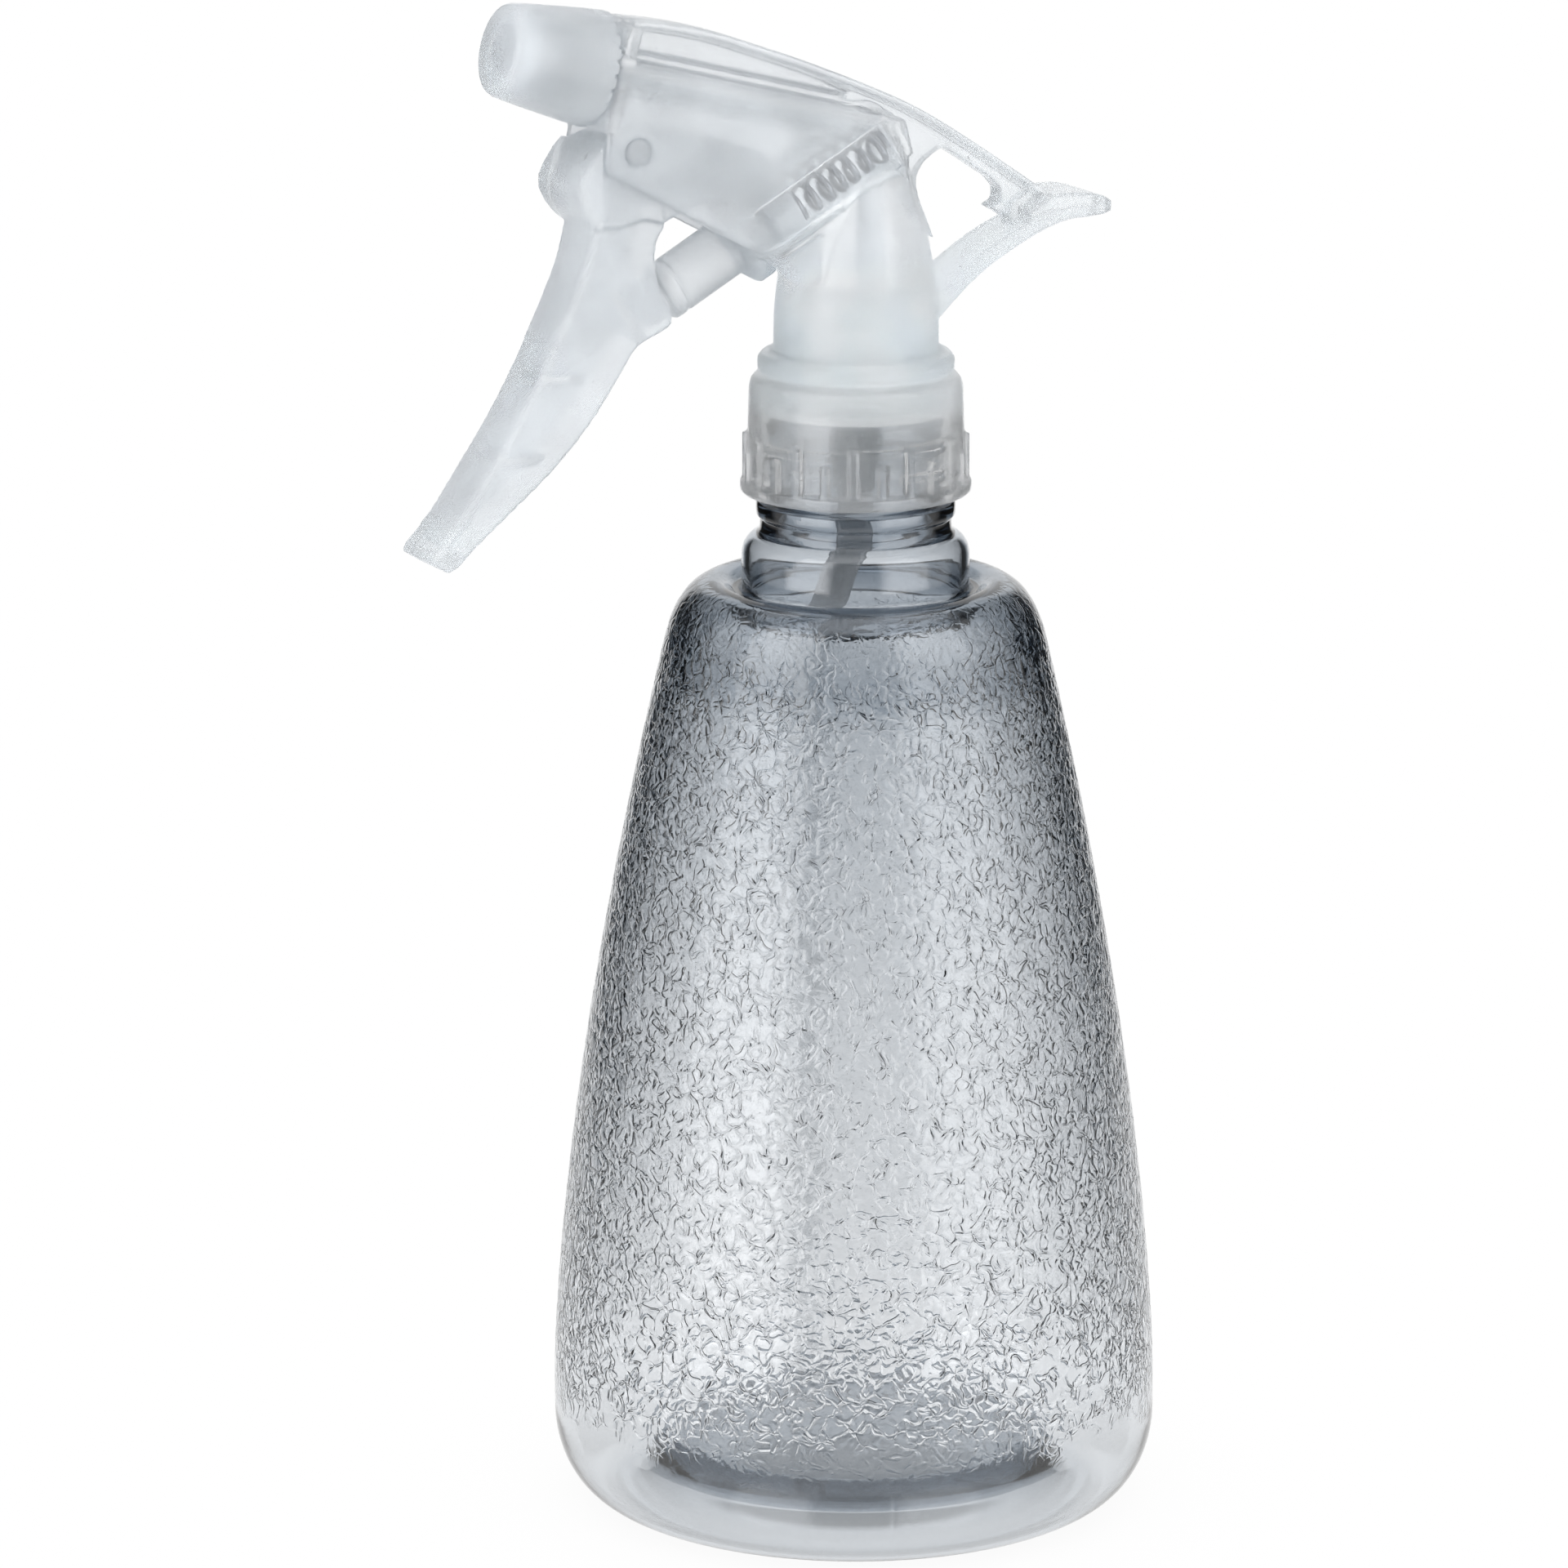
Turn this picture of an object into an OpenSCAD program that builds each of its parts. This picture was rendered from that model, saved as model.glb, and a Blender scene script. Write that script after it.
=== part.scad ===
// Trigger spray bottle, 500 ml class, with a 28 mm neck.
// Origin: centre of the base's resting plane. +Z up, -Y is the spray direction, X = 0 is the head's plane of symmetry.
// Side drawings use (s, z): s is the distance in front of the bottle axis (s = -y), z is the height.

/* [Bottle] */
// Largest radius of the body
body_r = 44; // [40:0.5:48]
// Height at which the body starts to taper
taper_z = 16; // [14:1:20]
// Taper strength: radius lost at the shoulder
taper_drop = 16.6; // [14:0.2:18]
// Taper curvature exponent
taper_pow = 1.58; // [1.3:0.02:1.9]
// Height of the shoulder corner
shoulder_z = 128; // [126:0.5:129]
// Wall thickness of the body
wall = 0.9; // [0.6:0.1:1.2]
// Outer radius of the collar under the neck
collar_r = 16.4; // [16:0.1:17]
// Top of the neck (sealing land)
land_z = 161.1; // [161.1:0.1:161.1]
// Inner radius of the neck
neck_bore = 10.9; // [10.6:0.1:11]

/* [Closure] */
// Outer radius of the cap's rim
rim_r = 16.6; // [16.4:0.1:17]
// Number of grip ribs (long and short alternate)
rib_count = 24; // [12:2:36]
// Pitch of the neck thread
pitch = 4.2; // [3.6:0.1:4.4]

/* [Head] */
// Outer radius of the stem above its flange
stem_r = 11.8; // [11.8:0.1:11.8]
// Half the width over the two cheeks
cheek_x = 7.1; // [7.1:0.1:7.4]
// Thickness of a cheek
cheek_t = 1.2; // [1:0.1:1.3]
// Radius of the pump bore
bore_r = 5.2; // [5.2:0.1:5.2]
// Outer radius of the pump barrel
barrel_r = 6.6; // [6.5:0.1:6.8]
// Slope of the pump axis, rising to the rear
pump_deg = 29.5; // [29.5:0.5:29.5]
// Tilt of the nozzle axis, rising to the front
nozzle_deg = 14.6; // [14.6:0.1:14.6]

/* [Trigger] */
// Radius of the trigger's trunnions
trunnion_r = 1.95; // [1.9:0.01:1.96]
// Half the width of the finger lever
lever_x = 4.8; // [4.6:0.1:5]

/* [Return spring] */
// Coil centre radius
spring_r = 3.5; // [3.2:0.1:3.8]
// Wire radius
wire_r = 0.5; // [0.4:0.05:0.6]
// Number of active coils
coils = 6; // [5:1:7]

/* [Hidden] */
$fn = 64;
mouth = [19.35, 187.0];          // centre of the barrel's mouth (s, z)
pivot = [37.5, 201.9];           // trigger pivot (s, z)
nozzle = [41.5, 213.1];          // rear centre of the nozzle cap (s, z)
pp = [0.86, 0.89, 0.91];
smoke = [0.42, 0.46, 0.52, 0.6];

// ---- helpers ----
// prism of a side drawing, w wide and centred on X = 0
module side(w) rotate([0, 0, -90]) rotate([90, 0, 0]) linear_extrude(w, center = true) children();
// both plates of a symmetric pair, from |x| = x0 to x1
module pair(x0, x1) for (m = [-1, 1]) translate([m * (x0 + x1) / 2, 0, 0]) side(x1 - x0) children();
// local +Z runs rearward and up along the pump axis, from the mouth
module pump() translate([0, -mouth[0], mouth[1]]) rotate([-(90 - pump_deg), 0, 0]) children();
// local +Z runs forward and up along the nozzle axis, from the cap's rear plane
module jet() translate([0, -nozzle[0], nozzle[1]]) rotate([90 - nozzle_deg, 0, 0]) children();
// tube between two heights
module ring(r0, r1, z0, z1) translate([0, 0, z0]) difference() {
    cylinder(r = r1, h = z1 - z0);
    translate([0, 0, -0.5]) cylinder(r = r0, h = z1 - z0 + 1);
}
// point of a smooth curve through a list of points (Catmull-Rom), u in [0, 1] between p[i] and p[i+1]
function at(p, i) = p[max(0, min(len(p) - 1, i))];
function cr(a, b, c, d, u) = 0.5 * ((2 * b) + (c - a) * u + (2 * a - 5 * b + 4 * c - d) * u * u + (3 * b - a - 3 * c + d) * u * u * u);
function smooth(p, n) = concat([for (i = [0:len(p) - 2]) for (k = [0:n - 1]) cr(at(p, i - 1), p[i], p[i + 1], at(p, i + 2), k / n)], [p[len(p) - 1]]);
// arc of radius r about c from angle a to b
function arc(c, r, a, b, n) = [for (k = [0:n]) [c[0] + r * cos(a + (b - a) * k / n), c[1] + r * sin(a + (b - a) * k / n)]];
// helical ridge built of short turned steps
module thread(r0, r1, z0, p, turns, h, n) for (k = [0:floor(turns * n) - 1])
    translate([0, 0, z0 + p * k / n]) rotate([0, 0, 360 * k / n]) rotate_extrude(angle = 360 / n + 0.5)
        polygon([[r0, -h / 2], [r1, -h / 4], [r1, h / 4], [r0, h / 2]]);
// helical spring of round wire about local Z, as a chain of true cylinders and ball joints
module coil(r, w, z0, z1, turns, n) {
    m = turns * n;
    function pt(k) = [r * cos(360 * k / n), r * sin(360 * k / n), z0 + w + (z1 - z0 - 2 * w) * k / m];
    for (k = [0:m - 1]) {
        a = pt(k); b = pt(k + 1); d = b - a; l = norm(d);
        translate(a) rotate([0, acos(d[2] / l), atan2(d[1], d[0])]) cylinder(r = w, h = l, $fn = 12);
    }
}

// ---- bottle ----
k_taper = taper_drop / pow(shoulder_z - taper_z, taper_pow);
function body_at(z) = body_r - k_taper * pow(max(0, z - taper_z), taper_pow);
sh_r = body_at(shoulder_z);
outer = concat(
    [[33.6, 0], [35.4, 0]],
    [for (a = [14:12:86]) [35 + (body_r - 35) * sin(a), 12.5 - 12.5 * cos(a)]],
    [for (z = [taper_z:8:shoulder_z]) [body_at(z), z]],
    [[sh_r - 0.7, shoulder_z + 2.3], [sh_r - 1.5, shoulder_z + 4.4], [sh_r - 2.7, shoulder_z + 6.5], [sh_r - 4.4, shoulder_z + 8.3], [sh_r - 6.1, shoulder_z + 9.2],
     [sh_r - 7.5, shoulder_z + 9.2], [sh_r - 8.6, shoulder_z + 8.2], [sh_r - 9.3, shoulder_z + 6.5], [sh_r - 9.9, shoulder_z + 4.9], [collar_r + 0.4, shoulder_z + 4.2], [collar_r, shoulder_z + 4.9]],
    [[collar_r, 140.6], [collar_r - 0.25, 141.8], [collar_r - 1.0, 142.9], [collar_r - 2.0, 143.4], [13.9, 143.8], [13.75, 144.4],
     [13.75, 145.7], [14.25, 146.0], [14.25, 148.0], [14.0, 148.3], [12.6, 148.5], [12.6, 160.7], [12.2, land_z]]);
inner = concat(
    [[neck_bore, land_z], [neck_bore, 145.2], [11.6, 143.2], [collar_r - 1.8, 142.0], [collar_r - 1.1, 140.6], [collar_r - 1.1, shoulder_z + 4.4],
     [collar_r - 0.8, shoulder_z + 3.4], [collar_r + 0.2, shoulder_z + 2.9], [sh_r - 9.5, shoulder_z + 3.2], [sh_r - 8.5, shoulder_z + 4.4], [sh_r - 8.1, shoulder_z + 6.2], [sh_r - 7.6, shoulder_z + 7.6],
     [sh_r - 6.9, shoulder_z + 8.1], [sh_r - 6.1, shoulder_z + 8.0], [sh_r - 5.0, shoulder_z + 7.2], [sh_r - 3.8, shoulder_z + 5.7], [sh_r - 2.7, shoulder_z + 3.8], [sh_r - 1.9, shoulder_z + 1.9], [sh_r - 1.3, shoulder_z - 0.5]],
    [for (z = [shoulder_z - 8:-8:taper_z]) [body_at(z) - wall, z]],
    [for (a = [80:-14:24]) [34.6 + (body_r - 34.6 - wall) * sin(a), 13.2 - 12.1 * cos(a)]],
    [[34.4, 1.5], [32.2, 2.0], [30.6, 3.4], [29.2, 5.8], [27.6, 8.2], [25.6, 9.3], [20, 9.8], [10, 10.3], [0, 10.5]]);
punt = [[0, 7.2], [12, 7.0], [20, 6.6], [25, 5.8], [27.8, 4.2], [30.2, 1.9], [32.6, 0.45]];

module bottle() color(smoke) union() {
    rotate_extrude($fn = 128) polygon(concat(outer, inner, punt));
    thread(12.4, 13.25, 151.6, pitch, 1.75, 1.7, 12);
}

// ---- closure ----
module closure_cap() color([0.88, 0.91, 0.93, 0.7]) union() {
    rotate_extrude($fn = 128) polygon([[14.0, 149.3], [rim_r - 0.5, 149.3], [rim_r, 149.8], [rim_r, 150.9], [rim_r - 0.4, 151.3], [15.75, 151.5],
        [15.3, 164.7], [15.05, 165.6], [14.5, 166.3], [13.7, 166.7], [12.0, 166.7], [12.0, 165.2], [13.9, 165.2], [13.9, 150.2]]);
    for (k = [0:rib_count - 1]) rotate([0, 0, 360 * k / rib_count + 2]) translate([15.2, -0.6, 151.2])
        cube([1.05, 1.2, (k % 2 == 0) ? 6.6 : 4.5]);
    thread(14.1, 13.4, 153.4, pitch, 1.25, 1.5, 12);
}
module neck_gasket() color("white") ring(11.1, 13.2, 161.1, 162.5);

// ---- inlet side ----
module valve_housing() color(pp) difference() {
    union() {
        translate([0, 0, 162.5]) cylinder(r = 12.9, h = 1.3);
        translate([0, 0, 163.7]) cylinder(r = 9.75, h = 10.3);
        translate([0, 0, 150.2]) cylinder(r = 3.9, h = 12.5);
        translate([0, 0, 174]) cylinder(r = 3.4, h = 3.0);
    }
    translate([0, 0, 150]) cylinder(r = 2.55, h = 11.5);          // dip tube socket
    translate([0, 0, 161]) cylinder(r = 1.5, h = 6.1);            // inlet passage
    translate([0, 0, 166.6]) cylinder(r = 2.35, h = 11);          // ball chamber
    difference() {                                                // hollow round the centre post
        translate([0, 0, 165.2]) cylinder(r = 8.5, h = 10);
        translate([0, 0, 165]) cylinder(r = 3.5, h = 11);
    }
    translate([7, 0, 161]) cylinder(r = 0.8, h = 5);              // vent passage
}
module inlet_ball() color("silver") translate([0, 0, 166.6 + 1.28]) sphere(r = 1.95, $fn = 48);
module ball_retainer() color(pp) difference() {
    ring(0.9, 2.35, 172.4, 174.2);
    for (a = [0, 90]) rotate([0, 0, a]) translate([-1.6, -0.3, 172.2]) cube([3.2, 0.6, 1.0]);
}
// the tube leans forward just under the neck, then runs straight down to the base
lean = 20;
bend_r = 12;
tube_s = 8.0;                                                     // how far the straight run stands in front of the axis
x1 = bend_r * (1 - cos(lean)); z1 = bend_r * sin(lean);
drop = (tube_s - 2 * x1) / sin(lean);                             // length of the leaning run
s2 = x1 + drop * sin(lean); z2 = z1 + drop * cos(lean);
tube_top = 161.3; knee = 147; tube_end = 13;
// the tube's centre line as straight runs of radius r and bends of radius rb; e runs past both ends
module tube_path(r, rb, e) {
    module bend() rotate_extrude(angle = lean) translate([bend_r, 0]) circle(rb);
    translate([0, 0, knee - 0.2]) cylinder(r = r, h = tube_top - knee + 0.2 + e);
    multmatrix([[0, 0, -1, 0], [1, 0, 0, -bend_r], [0, -1, 0, knee], [0, 0, 0, 1]]) bend();
    translate([0, -x1, knee - z1]) rotate([180 - lean, 0, 0]) translate([0, 0, -0.2]) cylinder(r = r, h = drop + 0.4);
    multmatrix([[0, 0, 1, 0], [-cos(lean), -sin(lean), 0, -s2 + bend_r * cos(lean)],
                [sin(lean), -cos(lean), 0, knee - z2 - bend_r * sin(lean)], [0, 0, 0, 1]]) bend();
    translate([0, -tube_s, tube_end - e]) cylinder(r = r, h = knee - z2 - z1 - tube_end + e + 0.2);
}
module dip_tube() color([0.84, 0.87, 0.89]) difference() {
    union() tube_path(2.5, 2.52, 0);
    union() tube_path(1.7, 1.67, 1);
}

// ---- head ----
// height of the jet axis over a given s
function jet_z(s) = nozzle[1] + (s - nozzle[0]) * tan(nozzle_deg);
rib_top = smooth([[38.6, 220.4], [31.6, 219.3], [24.0, 217.5], [16.5, 214.9], [8.7, 212.0], [-1.6, 207.7], [-9.0, 204.1], [-16.6, 199.4], [-24.0, 194.4], [-29.2, 190.8]], 3);
tail_low = smooth([[-31.5, 187.1], [-26.9, 185.2], [-22.5, 183.0], [-18.4, 180.6], [-14.6, 177.6], [-11.5, 174.6]], 3);
cheek = concat([[-4.6, jet_z(-4.6) + 1.8], [40.0, jet_z(40.0) + 1.8], [40.9, 211], [41.8, 206], [42.3, 201.6]], arc([40.5, 200.4], 1.9, 15, -60, 4),
    [[36.9, 196.4], [29.4, 191.9], [23.6, 188.7], [18.5, 186.0], [16.4, 184.3], [14.6, 182.4]], arc([11.2, 183.5], 2.6, -40, -140, 5),
    [[7.9, 184.4], [6.7, 188.4], [4.5, 192.0], [-1.0, 195.2], [-5.6, 198.6]]);
window = concat([[35.4, 219.0], [35.4, 215.0]], [for (s = [28:-8:4]) [s, jet_z(s) + 3.6]], [[1.6, 207.1]],
    [for (i = [len(rib_top) - 1:-1:0]) if (rib_top[i][0] > 2 && rib_top[i][0] < 35) [rib_top[i][0], rib_top[i][1] - 1.3]]);
tail_hole = smooth([[-13.0, 198.2], [-10.4, 196.6], [-8.9, 194.3], [-9.2, 191.5], [-10.6, 188.0], [-11.8, 185.0]], 3);

module sprayer_body() color(pp) difference() {
    union() {
        // stem with its two flanges, closed and rounded into the barrel
        rotate_extrude($fn = 96) polygon([[0, 163.8], [13.0, 163.8], [13.3, 164.1], [13.3, 164.8], [13.0, 165.1], [11.75, 165.15], [11.75, 166.8], [13.9, 166.9],
            [14.1, 167.2], [14.1, 168.8], [13.4, 169.6], [12.1, 169.8], [stem_r, 170.2], [stem_r, 173], [11.7, 176], [11.4, 179], [11.0, 182],
            [10.4, 185.4], [9.5, 188.4], [8.5, 191.2], [7.8, 194.0], [7.2, 197.0], [5.5, 199.5], [0, 201]]);
        // pump barrel, with a rounded rear end
        pump() translate([0, 0, 2.4]) cylinder(r = barrel_r, h = 23.2);
        pump() translate([0, 0, 25.5]) rotate_extrude() polygon([[0, 0], [barrel_r, 0], [6.2, 1.3], [5.2, 2.2], [3.6, 2.8], [0, 3]]);
        pump() cylinder(r = 6.15, h = 3);
        // discharge tube, faceplate and threaded spigot
        jet() translate([0, 0, -41]) cylinder(r = 2.9, h = 41);
        jet() translate([0.12 - cheek_x, -8.2, -3.3]) cube([2 * cheek_x - 0.24, 15.4, 2.4]);
        jet() translate([0, 0, -1.5]) cylinder(r = 5.1, h = 11.1);
        jet() thread(5.0, 5.6, 2.6, 2.0, 2.0, 1.0, 12);
        // cheeks, shelf and the web under the tube
        pair(cheek_x - cheek_t, cheek_x) polygon(cheek);
        side(2 * cheek_x - 0.8) polygon([[39.2, jet_z(39.2) + 2.5], [39.6, jet_z(39.6) + 1.1], [-4.4, jet_z(-4.4) + 1.1], [-4.6, jet_z(-4.6) + 2.5]]);
        // dorsal rib, its frame and its thin panel
        difference() {
            side(3.4) polygon(concat(rib_top, [[-13.0, 198.2]], tail_hole, [[-6, 190], [0, jet_z(0)], [38.6, jet_z(38.6)]]));
            side(10) polygon(window);
        }
        side(1.0) polygon(window);
        side(6.0) polygon(concat([for (i = [0:len(rib_top) - 1]) rib_top[i]], [for (i = [len(rib_top) - 1:-1:0]) rib_top[i] - [0.3, 1.15]]));
        // tail: upper bar, lower strap and the flared thumb rest
        side(3.4) polygon([[-12.6, 198.6], [-20.8, 193.2], [-22.3, 191.5], [-22.2, 189.9], [-20.6, 189.0], [-24, 187], [-31.5, 187.4], [-30, 190.4], [-29.2, 190.8], [-24, 194.4], [-16.6, 199.4], [-12, 202.4]]);
        side(9.6) polygon(concat(tail_low, [[-8, 173], [-8, 176.4]], smooth([[-11.0, 177.9], [-13.6, 180.0], [-17.4, 182.7], [-21.6, 185.1], [-26.4, 187.2], [-31.3, 188.6]], 3)));
        intersection() {
            side(16) polygon(concat(smooth([[-25.5, 188.6], [-29.5, 190.5], [-33.4, 190.7], [-36.8, 190.1], [-39.4, 188.8]], 3), smooth([[-39.6, 187.6], [-36.5, 187.3], [-31.5, 186.9], [-27.0, 185.4], [-25.5, 185.2]], 3)));
            translate([0, 25.5, 170]) rotate([0, 0, 0]) linear_extrude(40) polygon([[-4.6, -1], [4.6, -1], [5.2, 4], [6.0, 9], [5.9, 11.6], [4.4, 13.4], [0, 14.2], [-4.4, 13.4], [-5.9, 11.6], [-6.0, 9], [-5.2, 4]]);
        }
    }
    // bores
    pump() translate([0, 0, -0.5]) cylinder(r = bore_r, h = 26.6);
    jet() translate([0, 0, -41.5]) cylinder(r = 1.3, h = 42);
    jet() translate([0, 0, -1.5]) cylinder(r = 2.6, h = 12);
    translate([0, 0, 163]) cylinder(r = 9.8, h = 14.2);
    translate([0, 1.5, 176]) cylinder(r = 1.5, h = 18);
    for (m = [-1, 1]) translate([m * cheek_x, -pivot[0], pivot[1]]) rotate([0, 90, 0]) cylinder(r = 2.0, h = 4, center = true);
    // vent port into the barrel
    translate([0, -7.5, 176]) cylinder(r = 0.7, h = 14);
}
module barrel_collar() color(pp) pump() difference() {
    intersection() {
        rotate_extrude() polygon([[0, -1.2], [4.8, -1.2], [6.9, 0.1], [6.9, 2.3], [0, 2.3]]);
        translate([-cheek_x + cheek_t + 0.08, -8, -3]) cube([2 * (cheek_x - cheek_t - 0.08), 16, 8]);   // flats beside the cheeks
    }
    translate([0, 0, -0.02]) cylinder(r = 6.2, h = 5);
    translate([0, 0, -3]) cylinder(r = 4.33, h = 5);
}

// ---- pump ----
module piston_rod() color([0.82, 0.85, 0.87]) pump() difference() {
    rotate_extrude() polygon([[0, -19.5], [1.3, -19.25], [2.4, -18.5], [3.0, -17.4], [3.2, -16.3], [3.2, -13.9], [3.9, -13.5], [4.25, -13.1], [4.25, -11.6], [4.0, -11.4], [4.0, -11.1],
        [4.25, -10.9], [4.25, 4.4], [3.2, 4.6], [3.2, 8.0], [0, 8.0]]);
    translate([0, 0, 1.5]) cylinder(r = 2.4, h = 8);
}
module piston_cup() color([0.93, 0.94, 0.95]) pump() difference() {
    rotate_extrude() polygon([[3.22, 4.65], [4.6, 4.65], [5.15, 5.0], [5.15, 5.7], [4.7, 6.1], [4.7, 7.6], [5.16, 8.4], [5.16, 9.0], [4.7, 9.0], [4.2, 8.0], [3.22, 8.0]]);
}
module return_spring() color([0.35, 0.37, 0.4]) pump() coil(spring_r, wire_r, 8.1, 26.0, coils, 16);

// ---- trigger ----
front = smooth([[43.6, 191.4], [44.2, 188.6], [45.6, 184.2], [48.3, 178.4], [51.7, 171.4], [56.0, 164.0], [60.4, 157.6], [64.0, 152.4], [67.0, 148.9], [68.5, 147.4]], 3);
back = smooth([[64.6, 145.0], [61.2, 148.2], [55.8, 152.6], [49.9, 157.6], [44.2, 163.6], [39.6, 170.0], [36.9, 173.9], [33.6, 175.6], [31.6, 176.7], [31.5, 178.4], [33.2, 182.0],
    [33.9, 186.2], [33.6, 189.0], [32.4, 190.6]], 3);
head = concat(smooth([[41.6, 203.3], [43.2, 202.6], [45.1, 200.4], [46.5, 197.8], [46.5, 195.6], [45.4, 193.4], [43.7, 191.6]], 3));
module trigger() color(pp) difference() {
    union() {
        // side walls and front wall of the finger lever
        pair(lever_x - 1.15, lever_x) polygon(concat([[33.0, 196.5], [41.0, 197]], front, back));
        side(2 * lever_x) polygon(concat(front, [for (i = [len(front) - 1:-1:0]) front[i] - [1.55, 0.45]]));
        side(2 * lever_x) polygon([[68.5, 147.4], [68.9, 146.2], [66.0, 144.4], [64.6, 145.0], [63.6, 146.6], [66.8, 147.6]]);
        // cross wall the piston's nose bears on, and two stiffeners
        intersection() {
            pump() translate([-lever_x + 0.4, -6.0, -21.0]) cube([2 * lever_x - 0.8, 12, 1.4]);
            side(20) polygon(concat([[33.0, 196.5], [41.0, 197]], front, back));
        }
        side(2 * lever_x - 0.8) polygon([[44.4, 170.6], [51.5, 170.6], [51.5, 169.4], [44.9, 169.4]]);
        side(2 * lever_x - 0.8) polygon([[51.0, 159.6], [58.4, 159.6], [58.4, 158.6], [52.0, 158.6]]);
        // rolled head, hidden part between the cheeks and the full-width roll in front of them
        side(11.2) polygon(concat([[34.2, 203.2], [37.5, 204.2], [40.2, 203.7]], head, [[40.0, 191.2], [34.4, 192.6], [33.2, 198]]));
        side(13.8) polygon(concat([[42.8, 202.9]], [for (p = head) if (p[0] >= 42.9) p], [[42.8, 190.9]]));
        // upper arms beside the pump
        pair(4.55, 5.6) polygon(concat([[37.5, 204.6], [30, 203.6], [20.5, 201.4], [17.4, 200.2]], arc([17.8, 196.9], 1.8, 150, 260, 5), [[21.5, 193.8], [27.0, 194.0], [33.0, 191.4], [37.5, 192.6], [41, 197]]));
        for (m = [-1, 1]) translate([m * 5.75, -pivot[0], pivot[1]]) rotate([0, 90, 0]) cylinder(r = trunnion_r, h = 2.7, center = true);
    }
    // hollow behind the rolled head
    side(2 * lever_x - 2.3) polygon([[32, 205.5], [38, 202.6], [42.4, 200.6], [44.6, 197.4], [43.6, 194.2], [41.6, 190.6], [32, 190]]);
}

// ---- discharge side ----
module discharge_ball() color("silver") jet() translate([0, 0, -1.5 + 1.41]) sphere(r = 1.9, $fn = 48);
module discharge_spring() color([0.35, 0.37, 0.4]) jet() coil(1.7, 0.2, 1.83, 5.2, 4, 12);
module swirl_core() color(pp) jet() difference() {
    union() {
        translate([0, 0, 5.25]) cylinder(r = 2.53, h = 4.5);
        translate([0, 0, 9.65]) cylinder(r = 3.5, h = 2.4);
    }
    for (a = [0, 120, 240]) rotate([0, 0, a]) translate([2.1, -0.35, 5]) cube([2, 0.7, 8]);
    translate([0, 0, 11.2]) cylinder(r = 1.5, h = 2);
}
module nozzle_cap() color([0.9, 0.92, 0.94]) jet() difference() {
    rotate_extrude($fn = 96) polygon([[0, 14.4], [2.6, 14.4], [2.9, 14.7], [5.6, 14.7], [6.3, 14.4], [6.65, 13.7], [7.1, 10.6], [7.6, 6.6], [8.05, 2.6], [8.3, -0.3], [7.9, -0.5], [6.9, -0.5], [6.9, 1.4], [5.85, 1.7],
        [5.85, 12.0], [5.0, 13.0], [0, 13.0]]);
    translate([0, 0, 12]) cylinder(r = 0.4, h = 4);
    for (a = [0:15:345]) rotate([0, 0, a]) translate([6.5, -0.35, -1]) cube([3, 0.7, 1.1]);
}
module nozzle_seal() color("white") jet() ring(3.8, 4.9, 10.4, 12.9);

bottle();
closure_cap();
neck_gasket();
sprayer_body();
barrel_collar();
valve_housing();
inlet_ball();
ball_retainer();
dip_tube();
piston_rod();
piston_cup();
return_spring();
trigger();
discharge_ball();
discharge_spring();
swirl_core();
nozzle_cap();
nozzle_seal();
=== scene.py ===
import bpy, bmesh, math
import numpy as np
from mathutils import Vector, Matrix


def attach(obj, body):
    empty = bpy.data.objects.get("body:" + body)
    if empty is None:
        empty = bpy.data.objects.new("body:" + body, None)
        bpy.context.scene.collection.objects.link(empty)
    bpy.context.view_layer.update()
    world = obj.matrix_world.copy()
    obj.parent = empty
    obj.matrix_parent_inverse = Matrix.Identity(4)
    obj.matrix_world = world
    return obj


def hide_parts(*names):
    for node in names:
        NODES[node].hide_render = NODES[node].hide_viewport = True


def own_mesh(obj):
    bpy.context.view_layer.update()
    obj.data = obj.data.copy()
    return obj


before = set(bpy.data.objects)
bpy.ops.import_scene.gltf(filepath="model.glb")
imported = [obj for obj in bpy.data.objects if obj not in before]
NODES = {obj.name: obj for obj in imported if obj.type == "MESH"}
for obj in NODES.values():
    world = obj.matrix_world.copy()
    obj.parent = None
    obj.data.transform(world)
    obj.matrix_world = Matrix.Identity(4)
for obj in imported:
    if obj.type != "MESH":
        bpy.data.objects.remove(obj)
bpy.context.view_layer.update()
MM = 0.001

# ---------------------------------------------------------------- frame data
PUMP_DEG, NOZ_DEG = math.radians(29.5), math.radians(14.6)
PUMP_O = Vector((0, -19.35, 187.0)) * MM          # barrel mouth
PUMP_D = Vector((0, math.cos(PUMP_DEG), math.sin(PUMP_DEG)))      # rearward and up
JET_O = Vector((0, -41.5, 213.1)) * MM            # rear plane of the nozzle cap
JET_D = Vector((0, -math.cos(NOZ_DEG), math.sin(NOZ_DEG)))        # forward and up
X = Vector((1, 0, 0))


# ---------------------------------------------------------------- node helpers
def new_mat(name):
    m = bpy.data.materials.new(name)
    m.use_nodes = True
    m.node_tree.nodes.clear()
    return m


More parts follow.
